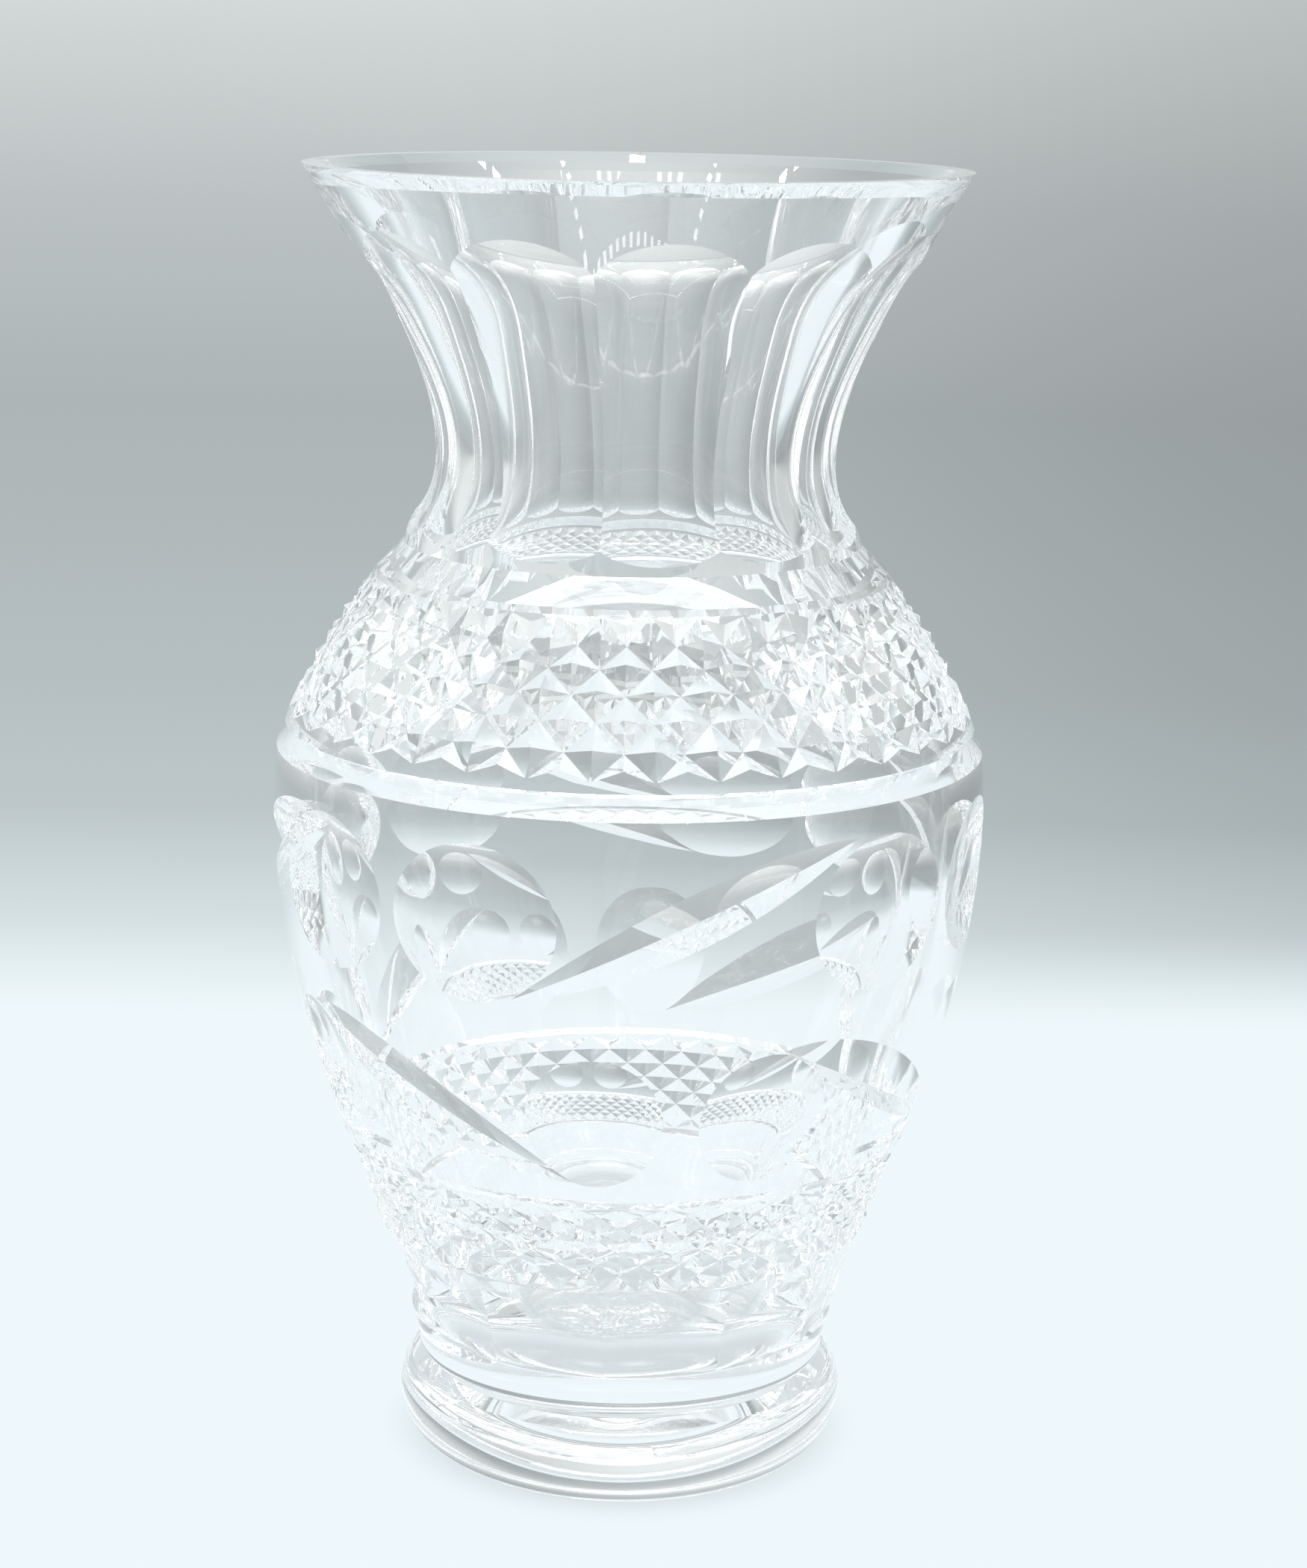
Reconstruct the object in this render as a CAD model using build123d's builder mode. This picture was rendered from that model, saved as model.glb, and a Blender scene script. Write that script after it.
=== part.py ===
"""Cut crystal vase: a flared, fluted neck on an ovoid body with two bands of pointed
diamonds, concave ovals and slanting leaf cuts between them, a faceted waist and a solid
round foot.

The vase is one piece of glass: a thick blank turned about +Z, then cut with wheels. The
origin is the centre of the underside of the foot. Angles run round the vase from the
front (-Y) towards the right (+X). All sizes are in millimetres and degrees.
"""

import os
from math import asin, atan2, cos, degrees, hypot, radians, sin, sqrt, tan

from build123d import *

# Heights of the zones, stacked from the table upwards
foot_height = 15.8
foot_seam_height = 3.5
cove_height = 7.7
waist_height = 18.3
lower_groove_height = 1.6
lower_band_height = 19.3
upper_groove_height = 1.6
belly_height = 75.1
wide_groove_height = 4.7
strip_height = 1.8
shoulder_height = 26.9
ring_height = 6.3
throat_height = 42.2
collar_height = 29.2

# Outside radii of the blank: the belly's is the widest, the rim's the widest of the neck
foot_radius = 44.7
waist_top_radius = 48.9
belly_bottom_radius = 56.8
belly_radius = 69.6
ring_radius = 49.3
neck_base_radius = 44.2
throat_radius = 40.0
collar_radius = 46.6
rim_radius = 63.5

# How far the rest of the outline stays inside or outside those radii
foot_base_inset = 5.1
foot_top_inset = 2.5
seam_inset = 6.0
cove_inset = 3.8
panel_inset = 2.2
band_bottom_outset = 0.4
band_top_inset = 0.6
belly_top_inset = 0.7
strip_inset = 2.4
shoulder_inset = 3.1
shoulder_top_outset = 0.7

# Heights of the widest and narrowest places, as shares of their zones
foot_share = 0.58
belly_share = 0.82
inner_belly_share = 0.78
throat_share = 0.42

# Inside of the vase
rim_wall = 3.7
rim_bevel_height = 1.8
rim_bevel_inset = 2.4
collar_wall = 8.0
throat_wall = 8.4
shoulder_wall = 8.0
belly_wall = 7.0
waist_wall = 9.0
base_thickness = 23.0
well_radius = 24.0
well_rise = 1.6
inner_shoulder_inset = 1.0
recess_radius = 31.0
recess_depth = 1.6

# Grooves turned round the blank, and how far its arcs stand out from their chords
groove_depth = 1.0
wide_groove_depth = 2.2
shoulder_bulge = 1.5

# Flutes of the neck
flute_count = 12
flute_phase = 7.3
flute_depth = 3.0
flute_wheel_distance = 125.0
flute_start_rise = 0.6
flute_start_outset = 2.2
flute_foot_share = 0.19
flute_arch_share = 0.435
flute_arch_outset = 4.25
flute_end_share = 0.68
flute_end_outset = 12.6

# Flat panels of the waist
panel_count = 12
panel_phase = 11.2
panel_break_rise = 8.0
panel_overlap = 1.0

# Pointed diamonds of the shoulder and of the lower band
shoulder_diamonds = 36
shoulder_phase = -5.5
shoulder_rows = 6
shoulder_depth = 2.6
lip_share = 0.35
band_diamonds = 40
band_phase = 4.3
band_rows = 7
band_depth = 1.5

# Concave ovals, in an upper and a lower row
upper_oval_width = 33.0
upper_oval_height = 30.0
upper_oval_depth = 3.2
upper_oval_drop = 20.4
lower_oval_width = 25.6
lower_oval_height = 28.2
lower_oval_depth = 2.7
lower_oval_rise = 16.6
oval_run_out = 4.0

# Leaf cuts, each a V groove that fades out at both ends
leaf_depth = 2.7
leaf_half_angle = 62.0
leaf_run_out = 6.0
upper_leaf_drops = (34.0, 19.4, 5.4)
lower_leaf_rises = (30.4, 15.8, 4.0)

# Angles of the hand-spaced cuts: the first oval of each pair, then its partner's
# distance, and how far the leaf between two pairs stays from their ovals' middles
upper_pair_angles = (-53.6, 43.5, 131.2, 218.9)
upper_pair_spacing = 30.0
upper_leaf_insets = (6.3, 6.0)
lower_pair_angles = (-4.7, 85.3, 175.3, 265.3)
lower_pair_spacing = 29.7
lower_leaf_insets = (1.8, 4.0)

# How far a cutter stands clear of the glass that it doesn't touch
clear_of_glass = 0.15
clear_of_vase = 8.0

# Radii that the insets give
foot_base_radius = foot_radius - foot_base_inset
foot_top_radius = foot_radius - foot_top_inset
seam_radius = foot_radius - seam_inset
cove_radius = foot_radius - cove_inset
panel_radius = foot_radius - panel_inset
panel_break_radius = foot_radius
band_bottom_radius = waist_top_radius + band_bottom_outset
band_top_radius = belly_bottom_radius - band_top_inset
belly_top_radius = belly_radius - belly_top_inset
strip_radius = belly_radius - strip_inset
shoulder_bottom_radius = belly_radius - shoulder_inset
shoulder_top_radius = ring_radius + shoulder_top_outset

# Levels that the zone heights give
seam_level = foot_height + foot_seam_height / 3
cove_level = foot_height + foot_seam_height
panel_level = cove_level + cove_height
panel_break_level = panel_level + panel_break_rise
waist_top = panel_level + waist_height
band_bottom = waist_top + lower_groove_height
band_top = band_bottom + lower_band_height
belly_bottom = band_top + upper_groove_height
belly_top = belly_bottom + belly_height
strip_bottom = belly_top + wide_groove_height
shoulder_bottom = strip_bottom + strip_height
shoulder_top = shoulder_bottom + shoulder_height
ring_level = shoulder_top + ring_height / 5
neck_base = shoulder_top + ring_height
collar_base = neck_base + throat_height
throat_level = neck_base + throat_height * throat_share
height = collar_base + collar_height

# The bulge of the shoulder, square to its chord
shoulder_run = shoulder_bottom_radius - shoulder_top_radius
bulge_outward = shoulder_bulge * shoulder_height / hypot(shoulder_height, shoulder_run)
bulge_upward = shoulder_bulge * shoulder_run / hypot(shoulder_height, shoulder_run)

# Upright plane that faces the front of the vase, for cutters that are then turned
FRONT = Plane(origin=(0, 0, 0), x_dir=(0, -1, 0), z_dir=(-1, 0, 0))


def around(angle, radius, level):
    """The point at an angle from the front, a distance from the axis and a height."""
    turn = radians(angle)
    return Vector(radius * sin(turn), -radius * cos(turn), level)


def station_at(edge, level):
    """Where along a rising outline edge its height is the level, from 0 to 1."""
    low, high = 0.0, 1.0
    for _ in range(40):
        middle = (low + high) / 2
        if (edge @ middle).Y < level:
            low = middle
        else:
            high = middle
    return low


def sunk_point(edge, station, depth=0.0):
    """Radius and height of a point on a rising outline edge, sunk into the glass."""
    point = edge @ station
    along = edge % station
    return point.X - depth * along.Y, point.Y + depth * along.X


def surface_point(edge, angle, level):
    """The point of the blank at an angle and a height."""
    return around(angle, (edge @ station_at(edge, level)).X, level)


# The outline of the blank, from the foot up the outside and down the inside
with BuildSketch(Plane.XZ) as wall_section:
    with BuildLine():
        recess = ThreePointArc(
            (0, recess_depth),
            (recess_radius / 2, recess_depth * 3 / 4),
            (recess_radius, 0),
        )
        base = Line(recess @ 1, (foot_base_radius, 0))
        foot_edge = Spline(
            base @ 1,
            (foot_radius, foot_height * foot_share),
            (foot_top_radius, foot_height),
            tangents=[(0.9, 0.55), (-0.8, 0.6)],
        )
        seam = Polyline(
            foot_edge @ 1,
            (seam_radius, seam_level),
            (cove_radius, cove_level),
        )
        cove = Spline(
            seam @ 1,
            (panel_radius, panel_level),
            tangents=[(0, 1), (panel_break_radius - panel_radius, panel_break_rise)],
        )
        waist = Polyline(
            cove @ 1,
            (panel_break_radius, panel_break_level),
            (waist_top_radius, waist_top),
        )
        lower_groove = Polyline(
            waist @ 1,
            (waist_top_radius - groove_depth, waist_top + lower_groove_height / 2),
            (band_bottom_radius, band_bottom),
        )
        band_edge = Line(lower_groove @ 1, (band_top_radius, band_top))
        upper_groove = Polyline(
            band_edge @ 1,
            (band_top_radius - groove_depth, band_top + upper_groove_height / 2),
            (belly_bottom_radius, belly_bottom),
        )
        belly_edge = Spline(
            upper_groove @ 1,
            (belly_radius, belly_bottom + belly_height * belly_share),
            (belly_top_radius, belly_top),
            tangents=[(0.34, 0.94), (-0.1, 1)],
        )
        wide_groove = Polyline(
            belly_edge @ 1,
            (strip_radius - wide_groove_depth, strip_bottom - wide_groove_height / 4),
            (strip_radius, strip_bottom),
        )
        strip = Line(wide_groove @ 1, (shoulder_bottom_radius, shoulder_bottom))
        shoulder_edge = ThreePointArc(
            strip @ 1,
            (
                (shoulder_bottom_radius + shoulder_top_radius) / 2 + bulge_outward,
                (shoulder_bottom + shoulder_top) / 2 + bulge_upward,
            ),
            (shoulder_top_radius, shoulder_top),
        )
        ring = Polyline(
            shoulder_edge @ 1,
            (ring_radius, ring_level),
            (neck_base_radius, neck_base),
        )
        neck_edge = Spline(
            ring @ 1,
            (throat_radius, throat_level),
            (collar_radius, collar_base),
            tangents=[(-0.25, 1), (rim_radius - collar_radius, collar_height)],
        )
        collar_edge = Line(neck_edge @ 1, (rim_radius, height))
        rim = Polyline(
            collar_edge @ 1,
            (rim_radius - rim_wall, height),
            (rim_radius - rim_wall - rim_bevel_inset, height - rim_bevel_height),
        )
        inside = Spline(
            rim @ 1,
            (collar_radius - collar_wall, collar_base),
            (throat_radius - throat_wall, throat_level),
            (ring_radius - shoulder_wall - inner_shoulder_inset, ring_level),
            (belly_top_radius - belly_wall - inner_shoulder_inset, belly_top),
            (belly_radius - belly_wall, belly_bottom + belly_height * inner_belly_share),
            (belly_bottom_radius - belly_wall, belly_bottom),
            (waist_top_radius - waist_wall, waist_top),
            (well_radius, base_thickness + well_rise),
            (0, base_thickness),
            tangents=[(-0.8, -1), (-1, 0)],
        )
        Line(inside @ 1, recess @ 0)
    make_face()


def triangle(a, b, c):
    """A flat face with three corners."""
    return Face(Wire.make_polygon([a, b, c], close=True))


def pulled_out(point):
    """The same angle and height, outside the whole vase."""
    outside = max(belly_radius, rim_radius, foot_radius) + clear_of_vase
    share = outside / hypot(point.X, point.Y)
    return Vector(point.X * share, point.Y * share, point.Z)


def diamond_cutter(edge, count, rows, depth, phase):
    """A ring whose inside is a field of pyramids, as two families of V grooves leave.

    Each half step round the vase and each row is a place in the field. Groove
    crossings and pyramid tips alternate over those places. In the first and last row
    the grooves run out at the surface of the blank, with a lip between two of them.
    """
    steps = [(edge @ ((row + 0.5) / rows)).X for row in range(rows)]
    stations = [sum(steps[:row]) / sum(steps) for row in range(rows + 1)]

    def place(row, half_step, sunk, towards=0.0):
        """The point at a place, moved part of the way to the next row inside."""
        inner = 1 if row == 0 else rows - 1
        station = (1 - towards) * stations[row] + towards * stations[inner]
        radius, level = sunk_point(edge, station, sunk)
        return around(phase + half_step * 180 / count, radius, level)

    def crossing(row, half_step):
        if row in (0, rows):
            return place(row, half_step, -clear_of_glass)
        return place(row, half_step, depth)

    def rim_point(row, half_step):
        """A point of the ring's end: where a groove runs out, or a lip."""
        if (half_step - row) % 2 == 0:
            return crossing(row, half_step)
        return place(row, half_step, -clear_of_glass, towards=lip_share)

    faces = []
    for half_step in range(2 * count):
        before, after = half_step - 1, half_step + 1
        for row in range(1, rows):
            if (half_step - row) % 2 == 0:
                continue
            tip = place(row, half_step, clear_of_glass / 3)
            corners = [
                crossing(row, before),
                crossing(row - 1, half_step),
                crossing(row, after),
                crossing(row + 1, half_step),
            ]
            for k in range(4):
                faces.append(triangle(corners[k], corners[(k + 1) % 4], tip))
        for row, inner in ((0, 1), (rows, rows - 1)):
            here, there = rim_point(row, half_step), rim_point(row, after)
            faces.append(triangle(here, there, pulled_out(here)))
            faces.append(triangle(there, pulled_out(there), pulled_out(here)))
            if (half_step - row) % 2:
                valley = crossing(inner, half_step)
                faces.append(triangle(here, valley, rim_point(row, before)))
                faces.append(triangle(here, valley, there))
        wall = [
            pulled_out(rim_point(0, half_step)),
            pulled_out(rim_point(0, after)),
            pulled_out(rim_point(rows, after)),
            pulled_out(rim_point(rows, half_step)),
        ]
        faces.append(Face(Wire.make_polygon(wall, close=True)))
    return Solid(Shell(faces))


def flute_cutter():
    """A flute of the neck: hollow across, it follows the neck and leaves it in arches.

    It is turned about an upright line outside the vase, so that it is most hollow at
    its ends, where it is widest.
    """
    bed = [
        (neck_base_radius + flute_start_outset, neck_base + flute_start_rise),
        (neck_base_radius - flute_depth / 2, neck_base + ring_height * 2 / 5),
        (throat_radius - flute_depth / 2, neck_base + throat_height * flute_foot_share),
        (throat_radius - flute_depth, throat_level),
        (collar_radius - flute_depth * 8 / 9, collar_base),
        (
            collar_radius + flute_arch_outset,
            collar_base + collar_height * flute_arch_share,
        ),
        (
            collar_radius + flute_end_outset,
            collar_base + collar_height * flute_end_share,
        ),
    ]
    upright = Plane(
        origin=(0, -flute_wheel_distance, 0), x_dir=(0, -1, 0), z_dir=(-1, 0, 0)
    )
    with BuildPart() as cutter:
        with BuildSketch(upright):
            with BuildLine():
                edge = Spline(*[(flute_wheel_distance - r, z) for r, z in bed])
                Polyline(edge @ 1, (0, (edge @ 1).Y), (0, (edge @ 0).Y), edge @ 0)
            make_face()
        revolve(axis=Axis((0, -flute_wheel_distance, 0), (0, 0, 1)))
    return cutter.part


def panel_cutter():
    """Two flat panels of the waist, one above the other, cut square across."""
    flat = cos(radians(180 / panel_count))
    outside = foot_radius + clear_of_vase
    top = waist_top + lower_groove_height / 2
    with BuildPart() as cutter:
        with BuildSketch(FRONT):
            with BuildLine():
                Polyline(
                    (panel_radius * flat, panel_level),
                    (panel_break_radius * flat, panel_break_level),
                    (waist_top_radius * flat, top),
                    (outside, top),
                    (outside, panel_level),
                    close=True,
                )
            make_face()
        half_width = waist_top_radius * tan(radians(180 / panel_count)) + panel_overlap
        extrude(amount=half_width, both=True)
    return cutter.part


def oval_cutter(angle, level, width, length, depth):
    """The part of a wheel's rim that cuts one concave oval of a given size.

    The wheel's radius and the roundness of its rim follow from the oval's width,
    length and depth and from how the belly curves there.
    """
    station = station_at(belly_edge, level)
    point = belly_edge @ station
    along = belly_edge % station
    step = 0.02
    behind, ahead = belly_edge % (station - step), belly_edge % (station + step)
    meridian_turn = atan2(behind.X, behind.Y) - atan2(ahead.X, ahead.Y)
    meridian_curve = meridian_turn / (2 * step * belly_edge.length)
    wheel_radius = 1 / (8 * depth / width**2 - along.Y / point.X)
    rim_roundness = 1 / (8 * depth / length**2 - meridian_curve)
    half_thickness = length / 2 + oval_run_out
    rim_drop = rim_roundness - sqrt(rim_roundness**2 - half_thickness**2)
    rim_depth = max(depth + clear_of_vase / 2, rim_drop + clear_of_glass)
    outward = around(angle, along.Y, -along.X)
    sideways = around(angle + 90, 1, 0)
    axle = around(angle, along.X, along.Y)
    centre = around(angle, point.X, point.Y) + outward * (wheel_radius - depth)
    turn = asin(width / 2 / wheel_radius) + oval_run_out / 2 / wheel_radius
    first = Plane(
        origin=centre,
        x_dir=sideways * sin(turn) - outward * cos(turn),
        z_dir=sideways * cos(turn) + outward * sin(turn),
    )
    with BuildPart() as cutter:
        with BuildSketch(first):
            with BuildLine():
                ThreePointArc(
                    (wheel_radius - rim_drop, -half_thickness),
                    (wheel_radius, 0),
                    (wheel_radius - rim_drop, half_thickness),
                )
                Polyline(
                    (wheel_radius - rim_drop, half_thickness),
                    (wheel_radius - rim_depth, half_thickness),
                    (wheel_radius - rim_depth, -half_thickness),
                    (wheel_radius - rim_drop, -half_thickness),
                )
            make_face()
        revolve(axis=Axis(centre, axle), revolution_arc=2 * degrees(turn))
    return cutter.part


def leaf_cutter(start, middle, end):
    """A V groove through three points of the belly, deepest between its two ends."""
    chord = end - start
    along = chord.normalized()
    share = (middle - start).dot(along) / chord.length
    rise = (middle - start) - along * (middle - start).dot(along)
    bulge = rise.length / (4 * share * (1 - share)) - leaf_depth
    outward = rise.normalized()
    half = chord.length / 2
    radius = (half**2 + bulge**2) / (2 * bulge)
    centre = (start + end) * 0.5 - outward * (radius - bulge)
    turn = asin(half / radius) + leaf_run_out / radius
    deep = leaf_depth + leaf_run_out
    axle = along.cross(outward)
    first = Plane(
        origin=centre,
        x_dir=outward * cos(turn) + along * sin(turn),
        z_dir=along * cos(turn) - outward * sin(turn),
    )
    with BuildPart() as cutter:
        with BuildSketch(first):
            with BuildLine():
                Polyline(
                    (radius, 0),
                    (radius + deep, deep * tan(radians(leaf_half_angle))),
                    (radius + deep, -deep * tan(radians(leaf_half_angle))),
                    close=True,
                )
            make_face()
        revolve(axis=Axis(centre, axle), revolution_arc=2 * degrees(turn))
    return cutter.part


def leaf_between(first_angle, last_angle, levels):
    """The leaf cut that runs from one angle to the next through three heights."""
    middle_angle = (first_angle + last_angle) / 2
    return leaf_cutter(
        surface_point(belly_edge, first_angle, levels[0]),
        surface_point(belly_edge, middle_angle, levels[1]),
        surface_point(belly_edge, last_angle, levels[2]),
    )


def pattern_of(pair_angles, spacing, insets, level, oval_size, leaf_levels):
    """One row of the belly: pairs of ovals, with a leaf from each pair to the next."""
    cutters = []
    for index, angle in enumerate(pair_angles):
        following = pair_angles[(index + 1) % len(pair_angles)]
        if index == len(pair_angles) - 1:
            following += 360
        for oval_angle in (angle, angle + spacing):
            cutters.append(oval_cutter(oval_angle, level, *oval_size))
        start, end = angle + spacing + insets[0], following - insets[1]
        cutters.append(leaf_between(start, end, leaf_levels))
    return cutters


upper_row = pattern_of(
    upper_pair_angles,
    upper_pair_spacing,
    upper_leaf_insets,
    belly_top - upper_oval_drop,
    (upper_oval_width, upper_oval_height, upper_oval_depth),
    [belly_top - drop for drop in upper_leaf_drops],
)
lower_row = pattern_of(
    lower_pair_angles,
    lower_pair_spacing,
    lower_leaf_insets,
    belly_bottom + lower_oval_rise,
    (lower_oval_width, lower_oval_height, lower_oval_depth),
    [belly_bottom + rise for rise in lower_leaf_rises],
)
shoulder_field = diamond_cutter(
    shoulder_edge, shoulder_diamonds, shoulder_rows, shoulder_depth, shoulder_phase
)
band_field = diamond_cutter(
    band_edge, band_diamonds, band_rows, band_depth, band_phase
)
flute = flute_cutter()
panel = panel_cutter()

with BuildPart() as vase_body:
    revolve(wall_section.sketch, axis=Axis.Z)
    add(upper_row + lower_row, mode=Mode.SUBTRACT)
    with PolarLocations(0, flute_count, start_angle=flute_phase):
        add(flute, mode=Mode.SUBTRACT)
    with PolarLocations(0, panel_count, start_angle=panel_phase):
        add(panel, mode=Mode.SUBTRACT)
    add([shoulder_field, band_field], mode=Mode.SUBTRACT)

vase_body.part.label = "vase_body"
os.makedirs("parts", exist_ok=True)
export_step(vase_body.part, "parts/vase_body.step")
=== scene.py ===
from math import asin, atan2, cos, hypot, pi, radians, sin, sqrt, tan

import bpy
import numpy as np
from mathutils import Matrix


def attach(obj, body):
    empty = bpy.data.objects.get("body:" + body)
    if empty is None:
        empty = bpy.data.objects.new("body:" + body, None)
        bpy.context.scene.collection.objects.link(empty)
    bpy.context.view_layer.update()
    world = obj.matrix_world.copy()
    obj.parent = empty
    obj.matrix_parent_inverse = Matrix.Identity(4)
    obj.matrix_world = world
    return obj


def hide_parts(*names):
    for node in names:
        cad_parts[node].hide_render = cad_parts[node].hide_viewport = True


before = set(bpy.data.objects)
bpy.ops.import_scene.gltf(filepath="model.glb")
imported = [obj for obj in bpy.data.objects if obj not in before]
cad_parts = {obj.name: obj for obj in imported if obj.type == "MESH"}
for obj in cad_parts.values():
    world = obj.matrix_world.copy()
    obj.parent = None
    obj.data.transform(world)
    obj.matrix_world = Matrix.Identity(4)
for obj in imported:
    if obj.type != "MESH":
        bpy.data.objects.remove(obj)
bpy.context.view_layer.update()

# The vase is worked out in millimetres, and the rest of the scene in metres.
MM = 0.001

# Heights of the zones, stacked from the table upwards
FOOT_HEIGHT = 15.8
SEAM_HEIGHT = 3.5
COVE_HEIGHT = 7.7
WAIST_HEIGHT = 18.3
LOWER_GROOVE_HEIGHT = 1.6
BAND_HEIGHT = 19.3
UPPER_GROOVE_HEIGHT = 1.6
BELLY_HEIGHT = 75.1
WIDE_GROOVE_HEIGHT = 4.7
STRIP_HEIGHT = 1.8
SHOULDER_HEIGHT = 26.9
RING_HEIGHT = 6.3
THROAT_HEIGHT = 42.2
COLLAR_HEIGHT = 29.2

# Levels that the heights give
SEAM_Z = FOOT_HEIGHT + SEAM_HEIGHT / 3
COVE_Z = FOOT_HEIGHT + SEAM_HEIGHT
PANEL_Z = COVE_Z + COVE_HEIGHT
PANEL_BREAK_RISE = 8.0
PANEL_BREAK_Z = PANEL_Z + PANEL_BREAK_RISE
WAIST_TOP_Z = PANEL_Z + WAIST_HEIGHT
BAND_BOTTOM_Z = WAIST_TOP_Z + LOWER_GROOVE_HEIGHT
BAND_TOP_Z = BAND_BOTTOM_Z + BAND_HEIGHT
BELLY_BOTTOM_Z = BAND_TOP_Z + UPPER_GROOVE_HEIGHT
BELLY_TOP_Z = BELLY_BOTTOM_Z + BELLY_HEIGHT
STRIP_Z = BELLY_TOP_Z + WIDE_GROOVE_HEIGHT
SHOULDER_BOTTOM_Z = STRIP_Z + STRIP_HEIGHT
SHOULDER_TOP_Z = SHOULDER_BOTTOM_Z + SHOULDER_HEIGHT
RING_Z = SHOULDER_TOP_Z + RING_HEIGHT / 5
NECK_BASE_Z = SHOULDER_TOP_Z + RING_HEIGHT
THROAT_Z = NECK_BASE_Z + THROAT_HEIGHT * 0.42
COLLAR_Z = NECK_BASE_Z + THROAT_HEIGHT
TOP_Z = COLLAR_Z + COLLAR_HEIGHT

# Outside radii of the blank
FOOT_BASE_RADIUS = 39.6
FOOT_RADIUS = 44.7
FOOT_TOP_RADIUS = 42.2
SEAM_RADIUS = 38.7
COVE_RADIUS = 40.9
PANEL_RADIUS = 42.5
PANEL_BREAK_RADIUS = 44.7
WAIST_TOP_RADIUS = 48.9
BAND_BOTTOM_RADIUS = 49.3
BAND_TOP_RADIUS = 56.2
BELLY_BOTTOM_RADIUS = 56.8
BELLY_RADIUS = 69.6
BELLY_TOP_RADIUS = 68.9
STRIP_RADIUS = 67.2
SHOULDER_BOTTOM_RADIUS = 66.5
SHOULDER_TOP_RADIUS = 50.0
RING_RADIUS = 49.3
NECK_BASE_RADIUS = 44.2
THROAT_RADIUS = 40.0
COLLAR_RADIUS = 46.6
RIM_RADIUS = 63.5

# Inside of the vase, and the recess under its foot
RIM_WALL = 3.7
RIM_BEVEL_HEIGHT = 1.8
RIM_BEVEL_INSET = 2.4
COLLAR_WALL = 8.0
THROAT_WALL = 8.4
RING_WALL = 9.0
BELLY_TOP_WALL = 8.0
BELLY_WALL = 7.0
WAIST_WALL = 9.0
WELL_RADIUS = 24.0
WELL_RISE = 1.6
BASE_THICKNESS = 23.0
RECESS_RADIUS = 31.0
RECESS_DEPTH = 1.6

# Turned grooves, and how far the middle of the shoulder lies outside and above its chord
GROOVE_DEPTH = 1.0
WIDE_GROOVE_DEPTH = 2.2
SHOULDER_BULGE_OUT = 1.279
SHOULDER_BULGE_UP = 0.784

# Cuts of the neck, the waist and the two bands of diamonds
FLUTE_COUNT = 12
FLUTE_PHASE = 7.3
FLUTE_WHEEL = 125.0
FLUTE_HALF_TURN = 13.0
FLUTE_DEPTH = 3.0
FLUTE_START_OUTSET = 2.2
FLUTE_START_RISE = 0.6
FLUTE_ARCH_OUTSET = 4.25
FLUTE_END_OUTSET = 12.6
PANEL_COUNT = 12
PANEL_PHASE = 11.2
SHOULDER_DIAMONDS = {"count": 36, "rows": 6, "depth": 2.6, "phase": -5.5}
BAND_DIAMONDS = {"count": 40, "rows": 7, "depth": 1.5, "phase": 4.3}
LIP_SHARE = 0.35

# Leaf cuts: V grooves that fade out at both ends
LEAF_DEPTH = 2.7
LEAF_HALF_ANGLE = 62.0
LEAF_RUN_OUT = 6.0

# The two rows of the belly. Angles run round the vase from its front towards its right.
BELLY_ROWS = [
    {
        "pair_angles": (-53.6, 43.5, 131.2, 218.9),
        "spacing": 30.0,
        "leaf_insets": (6.3, 6.0),
        "level": BELLY_TOP_Z - 20.4,
        "oval": (33.0, 30.0, 3.2),
        "leaf_levels": [BELLY_TOP_Z - drop for drop in (34.0, 19.4, 5.4)],
    },
    {
        "pair_angles": (-4.7, 85.3, 175.3, 265.3),
        "spacing": 29.7,
        "leaf_insets": (1.8, 4.0),
        "level": BELLY_BOTTOM_Z + 16.6,
        "oval": (25.6, 28.2, 2.7),
        "leaf_levels": [BELLY_BOTTOM_Z + rise for rise in (30.4, 15.8, 4.0)],
    },
]

# How far a cutter stands clear of the glass that it doesn't touch: close to the cut,
# beside the vase, and outside its rim
CLEAR = 0.15
CLEAR_OF_VASE = 8.0
CLEAR_OF_RIM = 14.0

# How many flat steps a full turn of the blank has, and how close to its axle counts as on it
ROUND_STEPS = 240
ON_AXLE = 1e-9


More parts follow.
